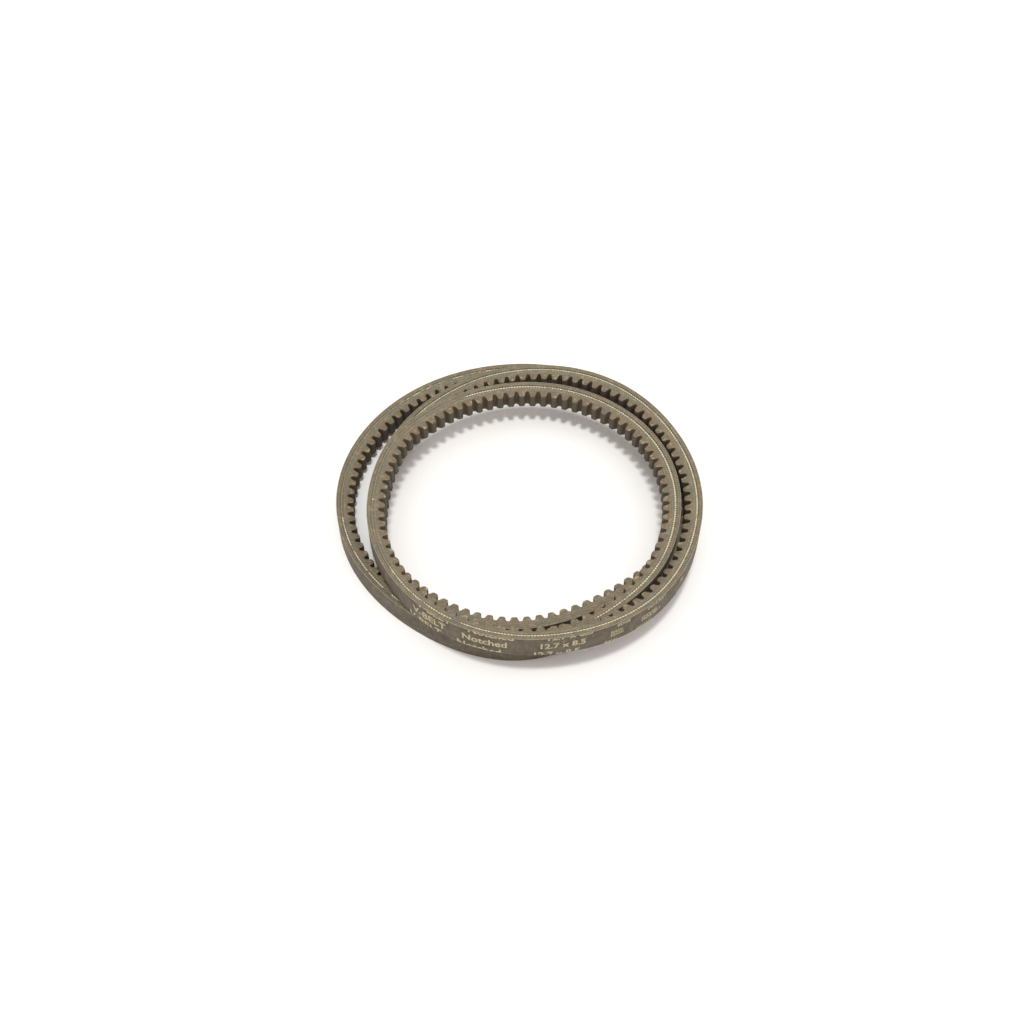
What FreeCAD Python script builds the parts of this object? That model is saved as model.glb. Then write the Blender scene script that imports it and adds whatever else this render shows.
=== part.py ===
import FreeCAD, Part
import bisect
import math
import os

# Raw-edge, moulded-notch classical V belt, coiled in three turns on a floor.
# The belt is one endless band: every layer follows the same closed route.

os.makedirs("parts", exist_ok=True)
doc = FreeCAD.newDocument("coiled_notched_v_belt")

# ---------------------------------------------------------------- sizes, mm
SIZES = [
    ("belt_width", 12.7),       # across the back
    ("belt_depth", 8.5),        # back to tooth tip
    ("wedge_angle", 36.0),      # included angle between the two flanks
    ("pitch_length", 1557.0),   # along the cord line, all round
    ("notch_count", 250.0),
    ("notch_depth", 3.1),
    ("back_ply_depth", 0.7),
    ("overcord_depth", 1.2),
    ("cord_size", 1.0),
    ("cord_gap", 0.2),          # least rubber between two windings
    ("cord_cover", 0.15),       # rubber between the outer winding and the flank
    ("gum_cover", 0.2),         # gum above and below the cord
    ("splice_gap", 0.05),       # between the two ends of a gum sheet
    ("cushion_share", 0.62),    # cushion's part of the solid rubber below the gum
    ("turn_gap", 0.2),          # air between neighbouring turns
    ("print_start", 22.0),      # marking, in sectors travelled
    ("print_sectors", 2.0),
    ("print_margin", 0.9),      # bare back either side of the marking
    ("print_film", 0.1),
]
sheet = doc.addObject("Spreadsheet::Sheet", "sizes")
for row, (name, value) in enumerate(SIZES, start=1):
    sheet.set("A%d" % row, name)
    sheet.set("B%d" % row, str(value))
    sheet.setAlias("B%d" % row, name)
doc.recompute()


def size(name):
    """One value from the sheet."""
    return float(sheet.get(name))


WIDTH = size("belt_width")
DEPTH = size("belt_depth")
TAPER = math.tan(math.radians(size("wedge_angle") / 2.0))
LENGTH = size("pitch_length")
NOTCHES = int(round(size("notch_count")))
CORD = size("cord_size")

# depths below the back at which one layer gives way to the next
OVERCORD_TOP = size("back_ply_depth")
GUM_TOP = OVERCORD_TOP + size("overcord_depth")
CORD_LINE = GUM_TOP + size("gum_cover") + CORD / 2.0
GUM_BOTTOM = CORD_LINE + CORD / 2.0 + size("gum_cover")
SOLID_BELOW = DEPTH - size("notch_depth") - GUM_BOTTOM
CUSHION_BOTTOM = GUM_BOTTOM + size("cushion_share") * SOLID_BELOW

# ---------------------------------------------------------------- the coil
# Knots of the route: degrees travelled, lane (in belt depths from the mean
# radius of the back), level (in belt widths above the floor). Three turns.
ROUTE = [
    (6, -1.483, 1.015), (23, -1.730, 0.992), (40, -1.987, 0.900), (57.6, -2.014, 0.800),
    (74, -1.931, 0.730), (90, -1.777, 0.700), (115.5, -1.519, 0.720), (142, -1.287, 0.800),
    (163.6, -1.014, 0.880), (186, -0.623, 0.950), (202, -0.236, 1.008), (216.5, 0.236, 1.015),
    (229, 0.584, 0.970), (240, 0.719, 0.727), (250, 0.775, 0.394), (260, 0.854, 0.114),
    (270, 0.966, 0.008), (285, 0.921, 0.0), (300, 0.742, 0.0), (314, 0.674, 0.0),
    (328, 0.719, 0.0), (344, 0.809, 0.0), (360, 0.843, 0.0), (390, 0.854, 0.0),
    (420, 0.921, 0.0), (450, 1.022, 0.0), (465, 1.090, 0.0), (483, 1.034, 0.0),
    (500, 0.854, 0.0), (520, 0.562, 0.0), (540, 0.393, 0.0), (558, 0.270, 0.0),
    (575, -0.067, 0.0), (590, -0.371, 0.0), (602, -0.404, 0.0), (615, -0.270, 0.0),
    (630, -0.079, 0.0), (645, -0.090, 0.0), (660, -0.270, 0.0), (675, -0.382, 0.0),
    (690, -0.539, 0.0), (705, -0.876, 0.0), (720, -1.146, 0.0), (735, -1.124, 0.0),
    (750, -0.921, 0.0), (765, -0.674, 0.076), (780, -0.449, 0.212), (795, -0.225, 0.394),
    (810, -0.034, 0.530), (826, 0.090, 0.682), (843, 0.045, 0.879), (858, 0.0, 0.992),
    (880, 0.112, 1.015), (907, 0.596, 1.015), (922, 0.944, 1.015), (937, 1.348, 1.030),
    (950, 1.685, 1.091), (963, 1.854, 1.152), (977, 1.820, 1.159), (992, 1.652, 1.121),
    (1003, 1.404, 1.083), (1017, 0.944, 1.045), (1030, 0.427, 1.023), (1043, -0.090, 1.015),
    (1055, -0.539, 1.015), (1070, -1.090, 1.015),
]
TURN_SPAN = 1080.0
START_ANGLE = 180.0
TABLE_STEPS = 4320
SPLINE_PASSES = 200
LENGTH_ROUNDS = 4
SECTORS = 25
SPANS = 12
LANE_STEP = DEPTH + size("turn_gap")
LEVEL_STEP = WIDTH + size("turn_gap")


def periodic_spline(xs, ys):
    """Second derivatives of the closed cubic spline through the knots."""
    n = len(xs)
    gaps = [xs[i + 1] - xs[i] for i in range(n - 1)] + [xs[0] + TURN_SPAN - xs[-1]]
    bends = [0.0] * n
    for _ in range(SPLINE_PASSES):
        for i in range(n):
            before, after = gaps[i - 1], gaps[i]
            rise = (ys[(i + 1) % n] - ys[i]) / after - (ys[i] - ys[i - 1]) / before
            side = before * bends[i - 1] + after * bends[(i + 1) % n]
            bends[i] = (6.0 * rise - side) / (2.0 * (before + after))
    return gaps, bends


KNOTS = [row[0] for row in ROUTE]
LANES = [row[1] for row in ROUTE]
LEVELS = [row[2] for row in ROUTE]
KNOT_GAPS, LANE_BENDS = periodic_spline(KNOTS, LANES)
LEVEL_BENDS = periodic_spline(KNOTS, LEVELS)[1]


def spline_value(ys, bends, travel):
    """Value of a closed spline at so many degrees travelled."""
    x = (travel - KNOTS[0]) % TURN_SPAN + KNOTS[0]
    i = bisect.bisect_right(KNOTS, x) - 1
    j = (i + 1) % len(KNOTS)
    gap = KNOT_GAPS[i]
    d = x - KNOTS[i]
    slope = (ys[j] - ys[i]) / gap - gap * (2.0 * bends[i] + bends[j]) / 6.0
    return ys[i] + d * slope + d * d * bends[i] / 2.0 + d ** 3 * (bends[j] - bends[i]) / (6.0 * gap)


def back_point(travel, mean_radius):
    """Plan position of the belt's back."""
    radius = mean_radius + LANE_STEP * spline_value(LANES, LANE_BENDS, travel)
    angle = math.radians(START_ANGLE - travel)
    return radius * math.cos(angle), radius * math.sin(angle)


def stations(mean_radius):
    """Back position, inward direction, height and cord-line travel round the route."""
    step = TURN_SPAN / TABLE_STEPS
    rows = []
    for i in range(TABLE_STEPS):
        travel = i * step
        x, y = back_point(travel, mean_radius)
        xa, ya = back_point(travel - step, mean_radius)
        xb, yb = back_point(travel + step, mean_radius)
        along = math.hypot(xb - xa, yb - ya)
        inward = ((yb - ya) / along, -(xb - xa) / along)
        z = max(0.0, LEVEL_STEP * spline_value(LEVELS, LEVEL_BENDS, travel))
        rows.append((x, y, inward[0], inward[1], z))
    return rows


def cord_lengths(rows):
    """Running length of the cord line."""
    run = [0.0]
    for i in range(len(rows)):
        a = rows[i]
        b = rows[(i + 1) % len(rows)]
        dx = (b[0] + CORD_LINE * b[2]) - (a[0] + CORD_LINE * a[2])
        dy = (b[1] + CORD_LINE * b[3]) - (a[1] + CORD_LINE * a[3])
        run.append(run[-1] + math.sqrt(dx * dx + dy * dy + (b[4] - a[4]) ** 2))
    return run


MEAN_RADIUS = LENGTH / (6.0 * math.pi)
for _ in range(LENGTH_ROUNDS):
    ROWS = stations(MEAN_RADIUS)
    RUN = cord_lengths(ROWS)
    MEAN_RADIUS += (LENGTH - RUN[-1]) / (6.0 * math.pi)
ROWS = stations(MEAN_RADIUS)
RUN = cord_lengths(ROWS)
CENTRE_X = (min(r[0] for r in ROWS) + max(r[0] for r in ROWS)) / 2.0
CENTRE_Y = (min(r[1] for r in ROWS) + max(r[1] for r in ROWS)) / 2.0


def belt_point(way, inset, height):
    """Point at a share of the way round, below the back, above the lower back edge."""
    run = (way % 1.0) * RUN[-1]
    i = min(bisect.bisect_right(RUN, run) - 1, TABLE_STEPS - 1)
    mix = (run - RUN[i]) / (RUN[i + 1] - RUN[i])
    a = ROWS[i]
    b = ROWS[(i + 1) % TABLE_STEPS]
    x, y, nx, ny, z = [p + mix * (q - p) for p, q in zip(a, b)]
    return FreeCAD.Vector(x + inset * nx - CENTRE_X, y + inset * ny - CENTRE_Y, z + height)


def low(inset):
    """Height of the lower flank at a depth below the back."""
    return inset * TAPER


def high(inset):
    """Height of the upper flank at a depth below the back."""
    return WIDTH - inset * TAPER


# ---------------------------------------------------------------- layer builder
def edge_through(points):
    """One smooth edge through the points."""
    curve = Part.BSplineCurve()
    curve.interpolate(points)
    return curve.toShape()


def layer_solid(rails, first, last, sectors, closed):
    """Solid between rails; each rail maps (start, end) of a sector to its points."""
    faces = []
    for k in range(sectors):
        a = first + (last - first) * k / sectors
        b = first + (last - first) * (k + 1) / sectors
        edges = [edge_through(rail(a, b)) for rail in rails]
        for i in range(len(edges)):
            faces.append(Part.makeRuledSurface(edges[i - 1], edges[i]))
    if not closed:
        for point in (0, -1):
            ring = [rail(first, last)[point] for rail in rails]
            faces.append(Part.Face(Part.makePolygon(ring + ring[:1])))
    sewn = Part.makeShell(faces)
    sewn.sewShape()
    shell = sewn.Shells[0]
    if Part.Solid(shell).Volume < 0:
        shell.reverse()
    return Part.Solid(shell)


def plain_rail(inset, height, spans=SPANS):
    """Rail at a fixed place in the section."""
    def points(a, b):
        ways = [a + (b - a) * i / spans for i in range(spans + 1)]
        return [belt_point(way, inset, height) for way in ways]
    return points


def band(top, bottom):
    """Closed layer between two depths, flank to flank."""
    rails = [
        plain_rail(top, low(top)),
        plain_rail(top, high(top)),
        plain_rail(bottom, high(bottom)),
        plain_rail(bottom, low(bottom)),
    ]
    return layer_solid(rails, 0.0, 1.0, SECTORS, True)


# ---------------------------------------------------------------- cord and gum
CORD_SPREAD = high(CORD_LINE) - low(CORD_LINE) - 2.0 * size("cord_cover") - CORD
WINDINGS = int(CORD_SPREAD / (CORD + size("cord_gap")))
CORD_PITCH = CORD_SPREAD / WINDINGS
CORD_START = low(CORD_LINE) + size("cord_cover") + CORD / 2.0
HALF = CORD / 2.0
SLANT = HALF * math.sin(math.pi / 3.0)


def winding_rail(winding, inset, shift):
    """Rail that climbs one cord pitch for every time round."""
    def points(a, b):
        ways = [a + (b - a) * i / SPANS for i in range(SPANS + 1)]
        start = CORD_START + CORD_PITCH * winding + shift
        return [belt_point(way, inset, start + CORD_PITCH * way) for way in ways]
    return points


def cord_solid():
    """One cord wound side by side from flank to flank."""
    rails = [
        winding_rail(0, CORD_LINE, -HALF),
        winding_rail(0, CORD_LINE - SLANT, -HALF / 2.0),
        winding_rail(0, CORD_LINE - SLANT, HALF / 2.0),
        winding_rail(0, CORD_LINE, HALF),
        winding_rail(0, CORD_LINE + SLANT, HALF / 2.0),
        winding_rail(0, CORD_LINE + SLANT, -HALF / 2.0),
    ]
    return layer_solid(rails, 0.0, float(WINDINGS), SECTORS * WINDINGS, False)


def gum_solid(face, side):
    """Gum sheet from a plain face to the grooved middle; side is -1 above the cord."""
    rails = [
        plain_rail(CORD_LINE, low(CORD_LINE)),
        plain_rail(face, low(face)),
        plain_rail(face, high(face)),
        plain_rail(CORD_LINE, high(CORD_LINE)),
    ]
    for winding in reversed(range(WINDINGS)):
        rails.append(winding_rail(winding, CORD_LINE, HALF))
        rails.append(winding_rail(winding, CORD_LINE + side * SLANT, HALF / 2.0))
        rails.append(winding_rail(winding, CORD_LINE + side * SLANT, -HALF / 2.0))
        rails.append(winding_rail(winding, CORD_LINE, -HALF))
    splice = size("splice_gap") / (2.0 * LENGTH)
    return layer_solid(rails, splice, 1.0 - splice, SECTORS, False)


# ---------------------------------------------------------------- notched layer
# Half of one notch: share of the notch pitch from the root, share of the depth.
NOTCH_HALF = [
    (0.0, 1.0), (0.06, 0.985), (0.115, 0.93), (0.16, 0.81), (0.19, 0.62),
    (0.215, 0.40), (0.245, 0.22), (0.29, 0.09), (0.35, 0.02), (0.42, 0.0), (0.5, 0.0),
]
NOTCH_OUTLINE = [(0.5 - x, d) for x, d in reversed(NOTCH_HALF)]
NOTCH_OUTLINE += [(0.5 + x, d) for x, d in NOTCH_HALF[1:]]
NOTCH_SPANS = 2


def notched_rail(upper):
    """Rail over half a tooth tip, a notch and half the next tip."""
    def points(a, b):
        made = []
        for share, depth in NOTCH_OUTLINE:
            inset = DEPTH - size("notch_depth") * depth
            height = high(inset) if upper else low(inset)
            made.append(belt_point(a + (b - a) * share, inset, height))
        return made
    return points


def notched_solid():
    """Fibre-loaded rubber with the moulded notches, one sector for each notch."""
    rails = [
        plain_rail(CUSHION_BOTTOM, low(CUSHION_BOTTOM), NOTCH_SPANS),
        plain_rail(CUSHION_BOTTOM, high(CUSHION_BOTTOM), NOTCH_SPANS),
        notched_rail(True),
        notched_rail(False),
    ]
    return layer_solid(rails, 0.0, 1.0, NOTCHES, True)


def marking_solid():
    """Thin printed film on the back."""
    edge = size("print_margin")
    film = -size("print_film")
    rails = [
        plain_rail(film, edge),
        plain_rail(film, WIDTH - edge),
        plain_rail(0.0, WIDTH - edge),
        plain_rail(0.0, edge),
    ]
    first = size("print_start") / SECTORS
    count = int(size("print_sectors"))
    return layer_solid(rails, first, first + count / SECTORS, count, False)


# ---------------------------------------------------------------- the pieces
PIECES = [
    ("back_ply", band(0.0, OVERCORD_TOP)),
    ("overcord_rubber", band(OVERCORD_TOP, GUM_TOP)),
    ("upper_cord_gum", gum_solid(GUM_TOP, -1.0)),
    ("tensile_cord", cord_solid()),
    ("lower_cord_gum", gum_solid(GUM_BOTTOM, 1.0)),
    ("cushion_rubber", band(GUM_BOTTOM, CUSHION_BOTTOM)),
    ("notched_undercord", notched_solid()),
    ("back_marking", marking_solid()),
]
made = []
for name, shape in PIECES:
    piece = doc.addObject("Part::Feature", name)
    piece.Label = name
    piece.Shape = shape
    made.append(piece)
doc.recompute()

for item in doc.Objects:
    if "Invalid" in item.State or "Error" in item.State:
        raise RuntimeError("%s did not compute" % item.Label)
for piece in made:
    if piece.Shape.isNull() or not piece.Shape.isValid():
        raise RuntimeError("%s has no valid shape" % piece.Label)
    piece.Shape.exportStep("parts/%s.step" % piece.Label)
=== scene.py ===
import bisect
import math

import bmesh
import bpy
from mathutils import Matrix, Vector, noise


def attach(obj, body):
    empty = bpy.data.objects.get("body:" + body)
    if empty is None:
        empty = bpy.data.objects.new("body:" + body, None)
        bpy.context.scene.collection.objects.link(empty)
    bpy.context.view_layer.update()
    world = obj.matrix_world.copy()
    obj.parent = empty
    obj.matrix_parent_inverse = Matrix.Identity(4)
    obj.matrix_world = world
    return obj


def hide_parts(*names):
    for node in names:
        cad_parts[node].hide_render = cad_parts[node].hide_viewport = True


# Looks of the coiled notched V belt: every layer is drawn out as a straight
# strip and then laid along the same closed route as the engineering model.

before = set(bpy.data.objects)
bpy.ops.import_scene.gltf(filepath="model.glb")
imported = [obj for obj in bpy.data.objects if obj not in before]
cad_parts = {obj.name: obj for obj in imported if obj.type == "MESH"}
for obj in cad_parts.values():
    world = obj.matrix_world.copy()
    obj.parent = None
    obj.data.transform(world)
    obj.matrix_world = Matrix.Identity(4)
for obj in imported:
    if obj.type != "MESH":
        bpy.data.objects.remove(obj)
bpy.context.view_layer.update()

# ------------------------------------------------------------- sizes, mm
MM = 0.001                  # metres in one
WIDTH = 12.7                # across the back
DEPTH = 8.5
FLANK_ANGLE = 36.0          # degrees between the two flanks
TAPER = math.tan(math.radians(FLANK_ANGLE / 2.0))
LENGTH = 1557.0             # along the cord line
NOTCHES = 250
NOTCH_DEPTH = 3.1
CORD = 1.0                  # thickness of one winding
WINDING_GAP = 0.2           # rubber between an outer winding and its neighbour
INNER_WINDINGS = 6          # buried between the two outer ones

# Depths below the back at which one layer ends and the next begins.
OVERCORD_TOP = 0.7
GUM_TOP = 1.9
CORD_LINE = 2.6
GUM_BOTTOM = 3.3
CUSHION_SHARE = 0.62        # of the rubber between the gum and the notch roots
CUSHION_BOTTOM = GUM_BOTTOM + CUSHION_SHARE * (DEPTH - NOTCH_DEPTH - GUM_BOTTOM)

# Wear.
BACK_ROUNDING = 0.22        # corners along the back
TIP_ROUNDING = 0.12         # corners along the teeth
RECESS = 0.40               # how far the rubber is worn back beside a bare cord
BURIED = 0.02               # rubber left over the outer winding

# The three plies of each outer winding.
PLIES = 3
TWIST = 4.4                 # length of one turn of the plies
PLY_RADIUS = 0.265
PLY_OFFSET = 0.225          # from the winding's own middle

# How finely the strips are divided.
PLAIN_STEPS = 1600
GUM_STEP = 0.5
GUM_STEPS = round(LENGTH / GUM_STEP)
TWIST_STEPS = 8
PLY_SIDES = 6
INNER_STEPS = 1000
INNER_SIDES = 8
ROUND_STEPS = 3
ROOT_RING = CUSHION_BOTTOM + 0.3    # the notched layer is left plain above this depth
SLACK = 0.06                # for telling one depth or flank from another
MERGE = 0.002               # points nearer than this are one
SHARP_ANGLE = math.radians(35.0)

# ------------------------------------------------------------- the coil
# Knots of the route: degrees travelled, lane (in belt depths from the mean
# radius of the back), level (in belt widths above the floor). Three turns.
ROUTE = [
    (6, -1.483, 1.015), (23, -1.730, 0.992), (40, -1.987, 0.900), (57.6, -2.014, 0.800),
    (74, -1.931, 0.730), (90, -1.777, 0.700), (115.5, -1.519, 0.720), (142, -1.287, 0.800),
    (163.6, -1.014, 0.880), (186, -0.623, 0.950), (202, -0.236, 1.008), (216.5, 0.236, 1.015),
    (229, 0.584, 0.970), (240, 0.719, 0.727), (250, 0.775, 0.394), (260, 0.854, 0.114),
    (270, 0.966, 0.008), (285, 0.921, 0.0), (300, 0.742, 0.0), (314, 0.674, 0.0),
    (328, 0.719, 0.0), (344, 0.809, 0.0), (360, 0.843, 0.0), (390, 0.854, 0.0),
    (420, 0.921, 0.0), (450, 1.022, 0.0), (465, 1.090, 0.0), (483, 1.034, 0.0),
    (500, 0.854, 0.0), (520, 0.562, 0.0), (540, 0.393, 0.0), (558, 0.270, 0.0),
    (575, -0.067, 0.0), (590, -0.371, 0.0), (602, -0.404, 0.0), (615, -0.270, 0.0),
    (630, -0.079, 0.0), (645, -0.090, 0.0), (660, -0.270, 0.0), (675, -0.382, 0.0),
    (690, -0.539, 0.0), (705, -0.876, 0.0), (720, -1.146, 0.0), (735, -1.124, 0.0),
    (750, -0.921, 0.0), (765, -0.674, 0.076), (780, -0.449, 0.212), (795, -0.225, 0.394),
    (810, -0.034, 0.530), (826, 0.090, 0.682), (843, 0.045, 0.879), (858, 0.0, 0.992),
    (880, 0.112, 1.015), (907, 0.596, 1.015), (922, 0.944, 1.015), (937, 1.348, 1.030),
    (950, 1.685, 1.091), (963, 1.854, 1.152), (977, 1.820, 1.159), (992, 1.652, 1.121),
    (1003, 1.404, 1.083), (1017, 0.944, 1.045), (1030, 0.427, 1.023), (1043, -0.090, 1.015),
    (1055, -0.539, 1.015), (1070, -1.090, 1.015),
]
TURNS = 3
TURN_SPAN = 360.0 * TURNS
START_ANGLE = 180.0         # direction in which travel begins, degrees from +X
TABLE_STEPS = 4320
SPLINE_PASSES = 200         # enough for the spline's bends to settle
LENGTH_ROUNDS = 4           # enough for the mean radius to settle
ROUND_PER_RADIUS = 2.0 * math.pi * TURNS
TURN_GAP = 0.2              # least room between turns, mm
LANE_STEP = DEPTH + TURN_GAP
LEVEL_STEP = WIDTH + TURN_GAP


def periodic_spline(xs, ys):
    """Second derivatives of the closed cubic spline through the knots."""
    n = len(xs)
    gaps = [xs[i + 1] - xs[i] for i in range(n - 1)] + [xs[0] + TURN_SPAN - xs[-1]]
    bends = [0.0] * n
    for _ in range(SPLINE_PASSES):
        for i in range(n):
            before, after = gaps[i - 1], gaps[i]
            rise = (ys[(i + 1) % n] - ys[i]) / after - (ys[i] - ys[i - 1]) / before
            side = before * bends[i - 1] + after * bends[(i + 1) % n]
            bends[i] = (6.0 * rise - side) / (2.0 * (before + after))
    return gaps, bends


KNOTS = [row[0] for row in ROUTE]
LANES = [row[1] for row in ROUTE]
LEVELS = [row[2] for row in ROUTE]
KNOT_GAPS, LANE_BENDS = periodic_spline(KNOTS, LANES)
LEVEL_BENDS = periodic_spline(KNOTS, LEVELS)[1]


def spline_value(ys, bends, travel):
    """Value of a closed spline at so many degrees travelled."""
    x = (travel - KNOTS[0]) % TURN_SPAN + KNOTS[0]
    i = bisect.bisect_right(KNOTS, x) - 1
    j = (i + 1) % len(KNOTS)
    gap = KNOT_GAPS[i]
    d = x - KNOTS[i]
    slope = (ys[j] - ys[i]) / gap - gap * (2.0 * bends[i] + bends[j]) / 6.0
    return ys[i] + d * slope + d * d * bends[i] / 2.0 + d ** 3 * (bends[j] - bends[i]) / (6.0 * gap)


def back_point(travel, mean_radius):
    """Plan position of the belt's back."""
    radius = mean_radius + LANE_STEP * spline_value(LANES, LANE_BENDS, travel)
    angle = math.radians(START_ANGLE - travel)
    return radius * math.cos(angle), radius * math.sin(angle)


def stations(mean_radius):
    """Back position, inward direction and height round the route."""
    step = TURN_SPAN / TABLE_STEPS
    rows = []
    for i in range(TABLE_STEPS):
        travel = i * step
        x, y = back_point(travel, mean_radius)
        xa, ya = back_point(travel - step, mean_radius)
        xb, yb = back_point(travel + step, mean_radius)
        along = math.hypot(xb - xa, yb - ya)
        z = max(0.0, LEVEL_STEP * spline_value(LEVELS, LEVEL_BENDS, travel))
        rows.append((x, y, (yb - ya) / along, -(xb - xa) / along, z))
    return rows


def cord_lengths(rows):
    """Running length of the cord line."""
    run = [0.0]
    for i in range(len(rows)):
        a = rows[i]
        b = rows[(i + 1) % len(rows)]
        dx = (b[0] + CORD_LINE * b[2]) - (a[0] + CORD_LINE * a[2])
        dy = (b[1] + CORD_LINE * b[3]) - (a[1] + CORD_LINE * a[3])
        run.append(run[-1] + math.sqrt(dx * dx + dy * dy + (b[4] - a[4]) ** 2))
    return run


MEAN_RADIUS = LENGTH / ROUND_PER_RADIUS
for _ in range(LENGTH_ROUNDS):
    ROWS = stations(MEAN_RADIUS)
    RUN = cord_lengths(ROWS)
    MEAN_RADIUS += (LENGTH - RUN[-1]) / ROUND_PER_RADIUS
ROWS = stations(MEAN_RADIUS)
RUN = cord_lengths(ROWS)
CENTRE_X = (min(r[0] for r in ROWS) + max(r[0] for r in ROWS)) / 2.0
CENTRE_Y = (min(r[1] for r in ROWS) + max(r[1] for r in ROWS)) / 2.0


def station_at(run):
    """Number of the station passed last at a cord-line length."""
    return min(bisect.bisect_right(RUN, run) - 1, TABLE_STEPS - 1)


def belt_point(run, inset, height):
    """Point so many mm along the cord line, below the back, above the lower back edge."""
    run = run % RUN[-1]
    i = station_at(run)
    mix = (run - RUN[i]) / (RUN[i + 1] - RUN[i])
    a = ROWS[i]
    b = ROWS[(i + 1) % TABLE_STEPS]
    x, y, nx, ny, z = [p + mix * (q - p) for p, q in zip(a, b)]
    return Vector((x + inset * nx - CENTRE_X, y + inset * ny - CENTRE_Y, z + height)) * MM


def run_at(travel):
    """Cord-line length at so many degrees travelled."""
    place = (travel % TURN_SPAN) / TURN_SPAN * TABLE_STEPS
    i = int(place)
    return RUN[i] + (place - i) * (RUN[i + 1] - RUN[i])


def low(inset):
    """Height of the lower flank at a depth below the back."""
    return inset * TAPER


def high(inset):
    """Height of the upper flank at a depth below the back."""
    return WIDTH - inset * TAPER


# ------------------------------------------------------------- node helpers
GLOSS = 0.35                # every finish here is a dull one


def shade(rgb):
    """Linear colour from a display colour given as 0-255 values."""
    def channel(v):
        v = v / 255.0
        return v / 12.92 if v <= 0.04045 else ((v + 0.055) / 1.055) ** 2.4
    return tuple(channel(v) for v in rgb) + (1.0,)


class Finish:
    """A material whose nodes are added one by one."""

    def __init__(self, name):
        self.material = bpy.data.materials.new(name)
        self.material.use_nodes = True
        self.nodes = self.material.node_tree.nodes
        self.links = self.material.node_tree.links
        self.shader = self.nodes["Principled BSDF"]
        self.where = self.nodes.new("ShaderNodeTexCoord").outputs["Object"]

    def put(self, value, socket):
        """Sets a socket to a number or colour, or links another node's result to it."""
        if isinstance(value, (int, float, tuple)):
            socket.default_value = value
        else:
            self.links.new(value, socket)

    def noise(self, grain, detail=3.0, rough=0.6, where=None):
        """Noise whose lumps are about grain mm across."""
        node = self.nodes.new("ShaderNodeTexNoise")
        self.put(where or self.where, node.inputs["Vector"])
        node.inputs["Scale"].default_value = 1.0 / (grain * MM)
        node.inputs["Detail"].default_value = detail
        node.inputs["Roughness"].default_value = rough
        return node.outputs["Fac"]

    def streaks(self, thick, long):
        """Noise drawn out along the belt: thick mm by long mm."""
        along, across, below = self.place()
        join = self.nodes.new("ShaderNodeCombineXYZ")
        self.put(self.maths("MULTIPLY", along, thick / long), join.inputs["X"])
        self.put(across, join.inputs["Y"])
        self.put(below, join.inputs["Z"])
        return self.noise(grain=thick, where=join.outputs["Vector"])

    def cells(self, grain):
        """Distance from the middle of scattered grains."""
        node = self.nodes.new("ShaderNodeTexVoronoi")
        self.put(self.where, node.inputs["Vector"])
        node.inputs["Scale"].default_value = 1.0 / (grain * MM)
        return node.outputs["Distance"]

    def spread(self, value, given, wanted=(0.0, 1.0)):
        """Value brought from the given range to the wanted one, held at both ends."""
        node = self.nodes.new("ShaderNodeMapRange")
        self.put(value, node.inputs["Value"])
        node.inputs["From Min"].default_value = given[0]
        node.inputs["From Max"].default_value = given[1]
        node.inputs["To Min"].default_value = wanted[0]
        node.inputs["To Max"].default_value = wanted[1]
        return node.outputs["Result"]

    def maths(self, operation, a, b=0.0):
        """One sum of two values."""
        node = self.nodes.new("ShaderNodeMath")
        node.operation = operation
        self.put(a, node.inputs[0])
        self.put(b, node.inputs[1])
        return node.outputs[0]

    def mix(self, factor, a, b, blend="MIX"):
        """Colour a with so much of colour b."""
        node = self.nodes.new("ShaderNodeMix")
        node.data_type = "RGBA"
        node.blend_type = blend
        self.put(factor, node.inputs["Factor"])
        self.put(a, node.inputs["A"])
        self.put(b, node.inputs["B"])
        return node.outputs["Result"]

    def ramp(self, value, stops):
        """Colours at places from 0 to 1."""
        node = self.nodes.new("ShaderNodeValToRGB")
        elements = node.color_ramp.elements
        while len(elements) < len(stops):
            elements.new(0.5)
        for element, (place, colour) in zip(elements, stops):
            element.position = place
            element.color = colour
        self.put(value, node.inputs["Fac"])
        return node.outputs["Color"]

    def place(self):
        """Along, across and below the back, from the strip before it was laid."""
        node = self.nodes.new("ShaderNodeAttribute")
        node.attribute_name = "place"
        split = self.nodes.new("ShaderNodeSeparateXYZ")
        self.links.new(node.outputs["Vector"], split.inputs["Vector"])
        return split.outputs["X"], split.outputs["Y"], split.outputs["Z"]

    def bump(self, height, depth, strength):
        """Fine relief, depth in mm."""
        node = self.nodes.new("ShaderNodeBump")
        node.inputs["Distance"].default_value = depth * MM
        node.inputs["Strength"].default_value = strength
        self.put(height, node.inputs["Height"])
        self.links.new(node.outputs["Normal"], self.shader.inputs["Normal"])

    def done(self, colour, roughness):
        """The finished material."""
        self.put(colour, self.shader.inputs["Base Color"])
        self.put(roughness, self.shader.inputs["Roughness"])
        self.shader.inputs["Specular IOR Level"].default_value = GLOSS
        return self.material


# ------------------------------------------------------------- materials
SEAM_WANDER = 0.16 * MM     # how far the seams between layers stray
TOOTH_TIPS = 8.2 * MM       # depth from which a tooth counts as its tip
TIP_SCUFFS_FROM = 5.2 * MM
ROOTS_FROM = 5.5 * MM
WEAVE_PITCH = 0.55 * MM
EDGE_HIGHLIGHT_BAND = (5.9 * MM, 6.3 * MM)      # distances from the middle of the back: the painted highlight along both edges


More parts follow.
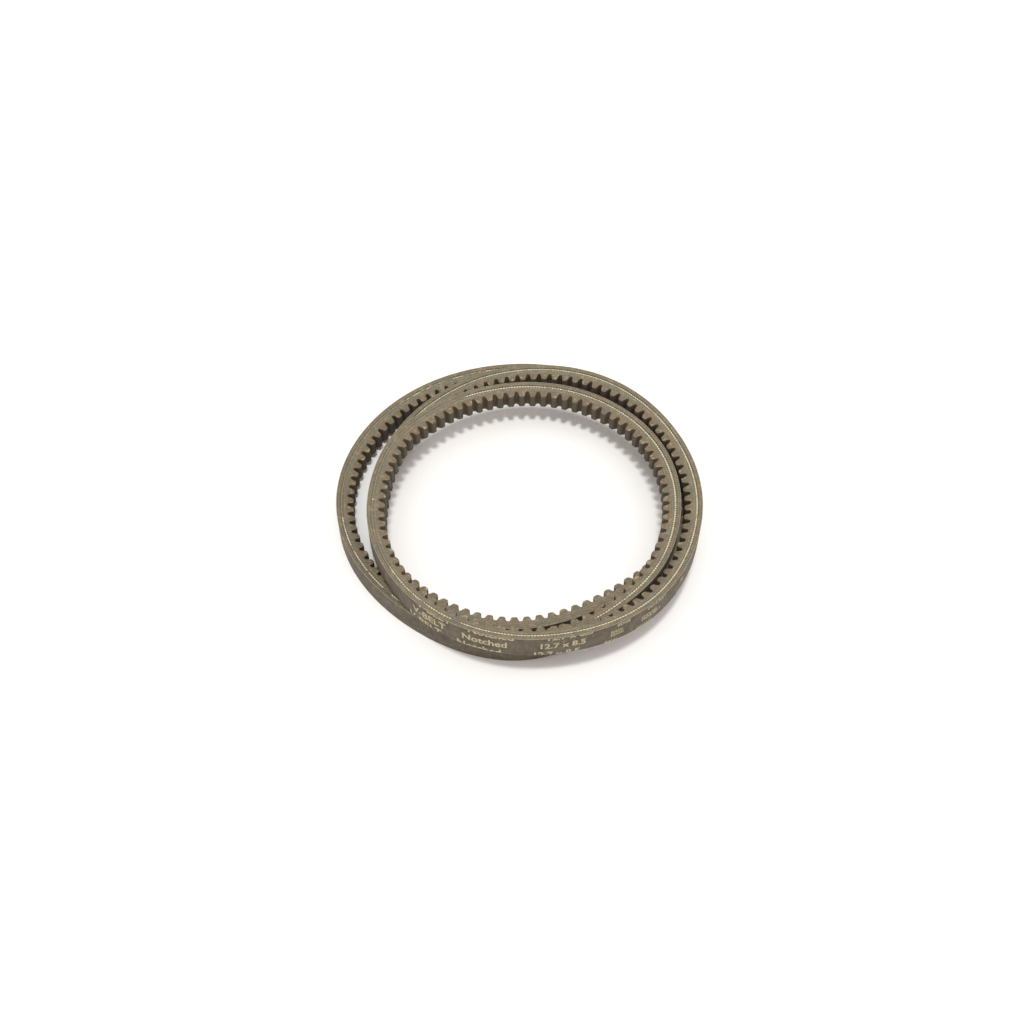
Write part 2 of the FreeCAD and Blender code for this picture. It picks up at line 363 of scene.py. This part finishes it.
def raw_edge(name, stops):
    """Ground flank: colours by depth below the back (mm), with cut fibre ends."""
    f = Finish(name)
    below = f.place()[2]
    wander = f.spread(f.noise(grain=1.6, detail=4.0), (0.25, 0.75), (-SEAM_WANDER, SEAM_WANDER))
    depth = f.spread(f.maths("ADD", below, wander), (0.0, DEPTH * MM))
    layers = f.ramp(depth, [(place / DEPTH, shade(rgb)) for place, rgb in stops])

    patch = f.spread(f.noise(grain=7.0), (0.35, 0.65))
    tint = f.mix(patch, shade((240, 232, 222)), shade((220, 227, 228)))
    toned = f.mix(1.0, layers, tint, "MULTIPLY")
    grit = f.noise(grain=0.32, detail=4.0, rough=0.75)
    speck = f.spread(grit, (0.36, 0.64), (0.42, 1.52))
    grainy = f.mix(1.0, toned, speck, "MULTIPLY")

    fibre_ends = f.spread(f.cells(grain=0.7), (0.10, 0.22), (1.0, 0.0))
    fibrous = f.spread(f.noise(grain=2.2, detail=2.0), (0.52, 0.62))
    flecked = f.mix(f.maths("MULTIPLY", fibre_ends, fibrous), grainy, shade((74, 58, 42)))

    scuff = f.spread(f.noise(grain=2.6, detail=5.0, rough=0.75), (0.53, 0.67))
    near_tip = f.spread(below, (TIP_SCUFFS_FROM, TOOTH_TIPS), (0.22, 0.85))
    scuffed = f.mix(f.maths("MULTIPLY", scuff, near_tip), flecked, shade((196, 184, 150)))
    streak = f.spread(f.streaks(thick=0.5, long=9.0), (0.60, 0.72), (0.0, 0.35))
    streaked = f.mix(streak, scuffed, shade((186, 180, 156)))
    f.bump(f.maths("ADD", grit, f.noise(grain=1.1, detail=2.0)), depth=0.09, strength=0.8)
    return f.done(streaked, f.spread(grit, (0.3, 0.7), (0.58, 0.84)))


def tooth_walls():
    """Moulded face of teeth and notches: brown towards the roots, grey on the tips."""
    f = Finish("moulded_teeth")
    below = f.place()[2]
    clean = f.mix(f.spread(below, (ROOTS_FROM, TOOTH_TIPS)), shade((98, 80, 58)), shade((88, 83, 70)))
    weave = f.noise(grain=0.5, detail=4.0, rough=0.7)
    shaded = f.mix(0.35, clean, shade((40, 33, 25)))
    woven = f.mix(f.spread(weave, (0.35, 0.65)), shaded, clean)
    dust = f.spread(f.noise(grain=2.4, detail=4.0, rough=0.65), (0.55, 0.75), (0.0, 0.35))
    f.bump(weave, depth=0.06, strength=0.7)
    return f.done(f.mix(dust, woven, shade((140, 128, 104))), 0.82)


def back_face():
    """Back cover: grey-green, with a fine weave, rub marks and a painted highlight along both edges.
    """
    f = Finish("back_cover")
    along, across, _ = f.place()
    mottle = f.spread(f.noise(grain=5.0, detail=4.0), (0.35, 0.68))
    clean = f.mix(mottle, shade((80, 73, 59)), shade((108, 100, 84)))
    grit = f.noise(grain=0.4, rough=0.7)
    gritty = f.mix(f.spread(grit, (0.3, 0.7), (0.5, 0.0)), clean, shade((62, 55, 43)))
    rub = f.spread(f.noise(grain=1.5, detail=5.0, rough=0.8), (0.55, 0.70), (0.0, 0.45))
    rubbed = f.mix(rub, gritty, shade((172, 162, 134)))
    # Painted highlight: a pale band along both edges of the back, where its corners catch the light.
    from_middle = f.maths("ABSOLUTE", f.maths("SUBTRACT", across, WIDTH * MM / 2.0))
    edge_highlighted = f.mix(f.spread(from_middle, EDGE_HIGHLIGHT_BAND, (0.0, 0.55)), rubbed, shade((178, 168, 138)))

    warp = f.maths("SINE", f.maths("MULTIPLY", along, 2.0 * math.pi / WEAVE_PITCH))
    weft = f.maths("SINE", f.maths("MULTIPLY", across, 2.0 * math.pi / WEAVE_PITCH))
    weave = f.maths("MULTIPLY", f.maths("MULTIPLY", warp, weft), 0.35)
    f.bump(f.maths("ADD", weave, grit), depth=0.05, strength=0.7)
    return f.done(edge_highlighted, f.spread(grit, (0.3, 0.7), (0.55, 0.78)))


def yarn():
    """Pale twisted yarn, with painted shade between the plies, and dirty in places."""
    f = Finish("polyester_cord")
    fibre = f.noise(grain=0.22, detail=4.0, rough=0.7)
    clean = f.mix(f.spread(fibre, (0.35, 0.65)), shade((202, 192, 154)), shade((244, 239, 212)))
    along = f.place()[0]
    # Painted shade: darker bands between the plies, once per ply along the twist.
    lay = f.maths("SINE", f.maths("MULTIPLY", along, 2.0 * math.pi * PLIES / (TWIST * MM)))
    ply_gap_shaded = f.mix(f.spread(lay, (0.0, 0.9), (0.0, 0.8)), clean, shade((112, 101, 76)))
    dirt = f.spread(f.noise(grain=3.4, detail=4.0, rough=0.7), (0.50, 0.64), (0.0, 0.55))
    f.bump(fibre, depth=0.05, strength=0.6)
    return f.done(f.mix(dirt, ply_gap_shaded, shade((128, 118, 94))), 0.7)


def ink():
    """Worn pale print."""
    f = Finish("worn_print")
    wear = f.spread(f.noise(grain=0.9, detail=5.0, rough=0.8), (0.50, 0.66))
    f.bump(f.noise(grain=0.4), depth=0.03, strength=0.5)
    return f.done(f.mix(wear, shade((182, 174, 138)), shade((120, 111, 90))), 0.75)


def paper():
    """Pale board under the coil."""
    f = Finish("pale_board")
    cloud = f.spread(f.noise(grain=90.0, detail=2.0), (0.3, 0.7))
    f.bump(f.noise(grain=0.9), depth=0.02, strength=0.3)
    return f.done(f.mix(cloud, (0.90, 0.90, 0.885, 1.0), (0.915, 0.915, 0.90, 1.0)), 0.9)


# Colours down the ground flank: depth below the back in mm, display colour.
# The pale first stops of the back cover's flank are a painted highlight along the back's corner.
BACK_STOPS = [
    (0.0, (178, 174, 156)), (0.25, (142, 138, 122)), (0.4, (108, 104, 92)), (0.7, (116, 109, 93)),
]
OVER_STOPS = [
    (0.7, (127, 116, 95)), (1.2, (134, 122, 100)), (1.75, (126, 116, 95)), (1.9, (104, 96, 78)),
]
GUM_STOPS = [
    (1.9, (102, 95, 78)), (2.3, (115, 108, 89)), (2.5, (146, 139, 114)), (2.7, (146, 139, 114)),
    (2.9, (119, 112, 94)), (3.3, (114, 108, 92)),
]
CUSHION_STOPS = [
    (3.3, (116, 111, 96)), (3.7, (130, 126, 110)), (4.3, (130, 125, 108)), (4.6, (125, 118, 100)),
]
UNDER_STOPS = [
    (4.6, (126, 117, 98)), (5.4, (128, 117, 95)), (7.2, (126, 114, 91)), (8.5, (121, 110, 90)),
]


# ------------------------------------------------------------- laying strips
def on_one_flank(corners):
    """True if all these strip points lie on the same ground flank."""
    lower = all(abs(c.y - low(c.z)) < SLACK for c in corners)
    upper = all(abs(c.y - high(c.z)) < SLACK for c in corners)
    return lower or upper


def wrapped_sheet(bm, ring, steps):
    """Sheet rolled up to the closed ring of (across, depth), drawn out along the strip."""
    half = 0.5
    made = bmesh.ops.create_grid(bm, x_segments=steps, y_segments=len(ring), size=half)
    for vert in made["verts"]:
        step = round((vert.co.x + half) * steps)
        corner = round((vert.co.y + half) * len(ring)) % len(ring)
        vert.co = (LENGTH * step / steps, *ring[corner])
    return made["verts"]


def finish_strip(name, bm, lay, materials):
    """Keeps each corner's place in the strip, lays the strip along the route and shows it."""
    place = bm.loops.layers.float_vector.new("place")
    for face in bm.faces:
        for loop in face.loops:
            loop[place] = loop.vert.co * MM
        if len(materials) > 1:
            face.material_index = int(on_one_flank([v.co for v in face.verts]))
        face.smooth = True
    for vert in bm.verts:
        vert.co = lay(vert.co)
    bmesh.ops.remove_doubles(bm, verts=bm.verts, dist=MERGE * MM)
    bmesh.ops.recalc_face_normals(bm, faces=bm.faces)
    for edge in bm.edges:
        if len(edge.link_faces) == 2 and edge.calc_face_angle() > SHARP_ANGLE:
            edge.smooth = False
    mesh = bpy.data.meshes.new(name)
    bm.to_mesh(mesh)
    bm.free()
    for material in materials:
        mesh.materials.append(material)
    piece = bpy.data.objects.new(name, mesh)
    bpy.context.collection.objects.link(piece)
    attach(piece, "root")
    return piece


def flat_lay(co):
    """A strip's point, laid along the route."""
    return belt_point(co.x, co.z, co.y)


def rounded(depth, inward, radius):
    """Quarter-round corner at the lower flank; inward is the way into the layer, +1 or -1."""
    points = []
    for i in range(ROUND_STEPS + 1):
        turn = math.pi / 2.0 * i / ROUND_STEPS
        below = depth + inward * radius * (1.0 - math.sin(turn))
        points.append((low(below) + radius * (1.0 - math.cos(turn)), below))
    return points


def section(top, bottom, top_radius=0.0, bottom_radius=0.0, between=()):
    """Closed wedge-shaped ring between two depths, with more points down the flanks if asked."""
    upper_end = rounded(top, 1.0, top_radius)[::-1] if top_radius else [(low(top), top)]
    lower_end = rounded(bottom, -1.0, bottom_radius) if bottom_radius else [(low(bottom), bottom)]
    side = upper_end + [(low(depth), depth) for depth in between] + lower_end
    return side + [(WIDTH - across, depth) for across, depth in reversed(side)]


def plain_layer(name, top, bottom, materials, top_radius=0.0):
    """A layer of even section all round."""
    bm = bmesh.new()
    wrapped_sheet(bm, section(top, bottom, top_radius), PLAIN_STEPS)
    return finish_strip(name, bm, flat_lay, materials)


# ------------------------------------------------------------- bare cord
# Stretches of the upper flank where the outer winding is ground bare:
# start and end in degrees travelled, and how much of it shows.
BARE = [
    (62, 104, 0.62), (104, 246, 0.95), (296, 352, 0.50),
    (400, 520, 0.36), (720, 1006, 1.0), (1006, 1040, 0.50),
]
FADE = 9.0                  # degrees in which a stretch begins or ends
LOWER_SHIFT = 410.0         # the lower flank is bare elsewhere: so many degrees round
LONG_PATCHES = 0.16         # lumps of noise per mm along the cord
SHORT_PATCHES = 0.45
SHORT_WEIGHT = 0.5          # of the short patches beside the long ones
UPPER_SEED = 3.0
LOWER_SEED = 9.0
SHORT_SEED = 5.0
PATCH_WEIGHT = 0.55         # of all patches beside the amounts in BARE
BARE_FROM = 0.32            # amount at which the cord begins to show
BARE_STEEPNESS = 5.0
GROOVE_HALF = 0.46          # from the cord line to the far rim of the worn groove
GROOVE_OVERLAP = 0.2        # past the cord line, into the other gum sheet
RIM = 0.04                  # half the width of the groove's sloping rim


def held(value):
    """Value kept between 0 and 1."""
    return max(0.0, min(1.0, value))


def bareness(run, upper):
    """0 where rubber covers the outer winding, 1 where the cord is bare."""
    travel = station_at(run % RUN[-1]) * TURN_SPAN / TABLE_STEPS
    if not upper:
        travel = (travel + LOWER_SHIFT) % TURN_SPAN
    amount = 0.0
    for start, end, most in BARE:
        inside = min(travel - start, end - travel) / FADE
        amount = max(amount, most * held(0.5 + inside))
    patchy = noise.noise(Vector((run * LONG_PATCHES, UPPER_SEED if upper else LOWER_SEED, 0.0)))
    patchy += SHORT_WEIGHT * noise.noise(Vector((run * SHORT_PATCHES, SHORT_SEED, 0.0)))
    return held((amount + PATCH_WEIGHT * patchy - BARE_FROM) * BARE_STEEPNESS)


def gum_layer(name, top, bottom, groove_first, groove_last, materials):
    """Gum sheet, worn back beside the bare cord between two depths."""
    bm = bmesh.new()
    rims = [groove_first - RIM, groove_first + RIM, groove_last - RIM, groove_last + RIM]
    rims = [depth for depth in rims if top < depth < bottom]
    wrapped_sheet(bm, section(top, bottom, between=rims), GUM_STEPS)

    def lay(co):
        upper = co.y > WIDTH / 2
        height = co.y
        if groove_first < co.z < groove_last:
            worn = RECESS * bareness(co.x, upper)
            height += -worn if upper else worn
        return belt_point(co.x, co.z, height)
    return finish_strip(name, bm, lay, materials)


def circle(radius, sides):
    """Ring of points round the strip's own line."""
    turns = [2.0 * math.pi * i / sides for i in range(sides)]
    return [(radius * math.cos(turn), radius * math.sin(turn)) for turn in turns]


def edge_cord(name, upper, material):
    """Three plies twisted together, just inside one flank."""
    bm = bmesh.new()
    twists = round(LENGTH / TWIST)
    inside = PLY_RADIUS + PLY_OFFSET + BURIED
    middle = high(CORD_LINE) - inside if upper else low(CORD_LINE) + inside
    for ply in range(PLIES):
        for vert in wrapped_sheet(bm, circle(PLY_RADIUS, PLY_SIDES), twists * TWIST_STEPS):
            turn = 2.0 * math.pi * (twists * vert.co.x / LENGTH + ply / PLIES)
            vert.co.y += PLY_OFFSET * math.cos(turn) + middle
            vert.co.z += PLY_OFFSET * math.sin(turn) + CORD_LINE
    return finish_strip(name, bm, flat_lay, [material])


def inner_windings(material):
    """The windings that stay buried between the two outer ones."""
    bm = bmesh.new()
    from_flank = 1.5 * CORD + WINDING_GAP
    first = low(CORD_LINE) + from_flank
    last = high(CORD_LINE) - from_flank
    for winding in range(INNER_WINDINGS):
        middle = first + (last - first) * winding / (INNER_WINDINGS - 1)
        ring = [(middle + y, CORD_LINE + z) for y, z in circle(CORD / 2.0, INNER_SIDES)]
        wrapped_sheet(bm, ring, INNER_STEPS)
    return finish_strip("inner_cord_windings", bm, flat_lay, [material])


# ------------------------------------------------------------- teeth
# Half of one notch: share of the notch pitch from the root, share of the depth.
NOTCH_HALF = [
    (0.0, 1.0), (0.06, 0.985), (0.115, 0.93), (0.16, 0.81), (0.19, 0.62),
    (0.215, 0.40), (0.245, 0.22), (0.29, 0.09), (0.35, 0.02), (0.42, 0.0), (0.5, 0.0),
]
NOTCH_OUTLINE = [(0.5 - x, d) for x, d in reversed(NOTCH_HALF)]
NOTCH_OUTLINE += [(0.5 + x, d) for x, d in NOTCH_HALF[1:]]


def notched_layer(name, materials):
    """Fibre-loaded rubber with the moulded teeth."""
    bm = bmesh.new()
    spans = len(NOTCH_OUTLINE) - 1
    ring = section(CUSHION_BOTTOM, DEPTH, bottom_radius=TIP_ROUNDING, between=[ROOT_RING])
    for vert in wrapped_sheet(bm, ring, NOTCHES * spans):
        station = round(vert.co.x / LENGTH * NOTCHES * spans)
        share, notch = NOTCH_OUTLINE[station % spans]
        vert.co.x = (station // spans + share) * LENGTH / NOTCHES
        if vert.co.z > ROOT_RING + SLACK:
            shift = NOTCH_DEPTH * notch
            vert.co.y += -shift * TAPER if vert.co.y < WIDTH / 2 else shift * TAPER
            vert.co.z -= shift
    return finish_strip(name, bm, flat_lay, materials)


# ------------------------------------------------------------- marking
# Text, letter height, place of its left end in degrees travelled.
PRINTED = [
    ("V-BELT", 4.4, 1024.0), ("Notched", 4.2, 1007.5), ("12.7 x 8.5", 3.8, 987.0),
    ("RAW\nEDGE", 1.9, 968.0), ("ENDLESS\nDRIVE BELT", 1.7, 958.5), ("36", 2.6, 942.0),
]
PRINT_ROWS = [(0.6, 0.0), (6.9, 1.6), (13.2, 3.4)]     # height in mm, stagger in degrees
BOLD = 0.035                # stroke growth, as a share of the letter height
LETTER_TO_TYPE = 1.38       # type size for one mm of capital height
LINE_SPACE = 0.85           # between two lines of small text, as a share of the usual
CURVE_STEPS = 3
PRINT_MARGIN = 0.35         # unprinted, along both edges of the back
FILM = 0.035                # how far the ink stands off the back
CUT_SLACK = 0.0001


def marking(material):
    """Three staggered rows of worn, plain lettering on the outside of the back."""
    bm = bmesh.new()
    for row_height, stagger in PRINT_ROWS:
        for words, letter, travel in PRINTED:
            curve = bpy.data.curves.new("words", "FONT")
            curve.body = words
            curve.size = letter * LETTER_TO_TYPE
            curve.resolution_u = CURVE_STEPS
            curve.offset = letter * BOLD
            curve.space_line = LINE_SPACE
            holder = bpy.data.objects.new("words", curve)
            flat = bpy.data.meshes.new_from_object(holder)
            before = len(bm.verts)
            bm.from_mesh(flat)
            bm.verts.ensure_lookup_table()
            start = run_at(travel - stagger)
            for vert in bm.verts[before:]:
                vert.co = (start - vert.co.x, row_height - letter / 2 + vert.co.y, -FILM)
            bpy.data.objects.remove(holder)
            bpy.data.curves.remove(curve)
            bpy.data.meshes.remove(flat)
    for limit, side in ((PRINT_MARGIN, -1.0), (WIDTH - PRINT_MARGIN, 1.0)):
        everything = list(bm.verts) + list(bm.edges) + list(bm.faces)
        bmesh.ops.bisect_plane(bm, geom=everything, dist=CUT_SLACK, plane_co=(0, limit, 0),
                               plane_no=(0, side, 0), clear_outer=True)
    return finish_strip("back_print", bm, flat_lay, [material])


# ------------------------------------------------------------- the belt
cord_finish = yarn()
walls = tooth_walls()
back_finishes = [back_face(), raw_edge("edge_back", BACK_STOPS)]
groove_top = CORD_LINE - GROOVE_HALF
groove_bottom = CORD_LINE + GROOVE_HALF
layers = [
    (plain_layer("back_cover", 0.0, OVERCORD_TOP, back_finishes, BACK_ROUNDING), "back_ply"),
    (plain_layer("overcord_band", OVERCORD_TOP, GUM_TOP,
                 [walls, raw_edge("edge_overcord", OVER_STOPS)]), "overcord_rubber"),
    (gum_layer("gum_above_cord", GUM_TOP, CORD_LINE, groove_top, CORD_LINE + GROOVE_OVERLAP,
               [walls, raw_edge("edge_gum", GUM_STOPS)]), "upper_cord_gum"),
    (gum_layer("gum_below_cord", CORD_LINE, GUM_BOTTOM, CORD_LINE - GROOVE_OVERLAP, groove_bottom,
               [walls, raw_edge("edge_gum_lower", GUM_STOPS)]), "lower_cord_gum"),
    (edge_cord("edge_cord_upper", True, cord_finish), "tensile_cord"),
    (edge_cord("edge_cord_lower", False, cord_finish), "tensile_cord"),
    (inner_windings(cord_finish), "tensile_cord"),
    (plain_layer("cushion_band", GUM_BOTTOM, CUSHION_BOTTOM,
                 [walls, raw_edge("edge_cushion", CUSHION_STOPS)]), "cushion_rubber"),
    (notched_layer("toothed_base", [walls, raw_edge("edge_undercord", UNDER_STOPS)]),
     "notched_undercord"),
    (marking(ink()), "back_marking"),
]
for piece, node in layers:
    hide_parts(node)

# ------------------------------------------------------------- stage and light
FLOOR_SIZE = 6.0            # metres
FLOOR_DROP = 0.2 * MM       # under the belt's lowest edge
bpy.ops.mesh.primitive_plane_add(size=FLOOR_SIZE, location=(0, 0, -FLOOR_DROP))
floor = bpy.context.object
floor.name = "floor"
floor.data.materials.append(paper())

world = bpy.data.worlds.new("room")
bpy.context.scene.world = world
world.use_nodes = True
room_light = world.node_tree.nodes["Background"].inputs
room_light["Color"].default_value = (1.0, 0.925, 0.912, 1.0)
room_light["Strength"].default_value = 0.96

KEY_TILT = 9.0              # degrees from straight overhead, towards the camera
KEY_BLUR = 10.0             # degrees across, for soft-edged shadows
key = bpy.data.lights.new("key", "SUN")
key.energy = 1.52
key.angle = math.radians(KEY_BLUR)
key.color = (0.97, 1.0, 0.99)
key_holder = bpy.data.objects.new("key", key)
key_holder.rotation_euler = (math.radians(KEY_TILT), 0.0, 0.0)
bpy.context.collection.objects.link(key_holder)

# ------------------------------------------------------------- camera
# It looks down at 50 degrees at a point of the floor near the coil's middle.
LOOK_AT = Vector((-2.3, -0.7, 0.0)) * MM
DISTANCE = 581.6 * MM
ELEVATION = math.radians(50.0)
camera = bpy.data.cameras.new("camera")
camera.lens = 40.08
camera.sensor_width = 36.0
camera.clip_start = 10.0 * MM
camera_holder = bpy.data.objects.new("camera", camera)
away = Vector((0.0, -math.cos(ELEVATION), math.sin(ELEVATION)))
camera_holder.location = LOOK_AT + away * DISTANCE
camera_holder.rotation_euler = (-away).to_track_quat("-Z", "Y").to_euler()
bpy.context.collection.objects.link(camera_holder)
bpy.context.scene.camera = camera_holder

bpy.context.scene.view_settings.view_transform = "Standard"
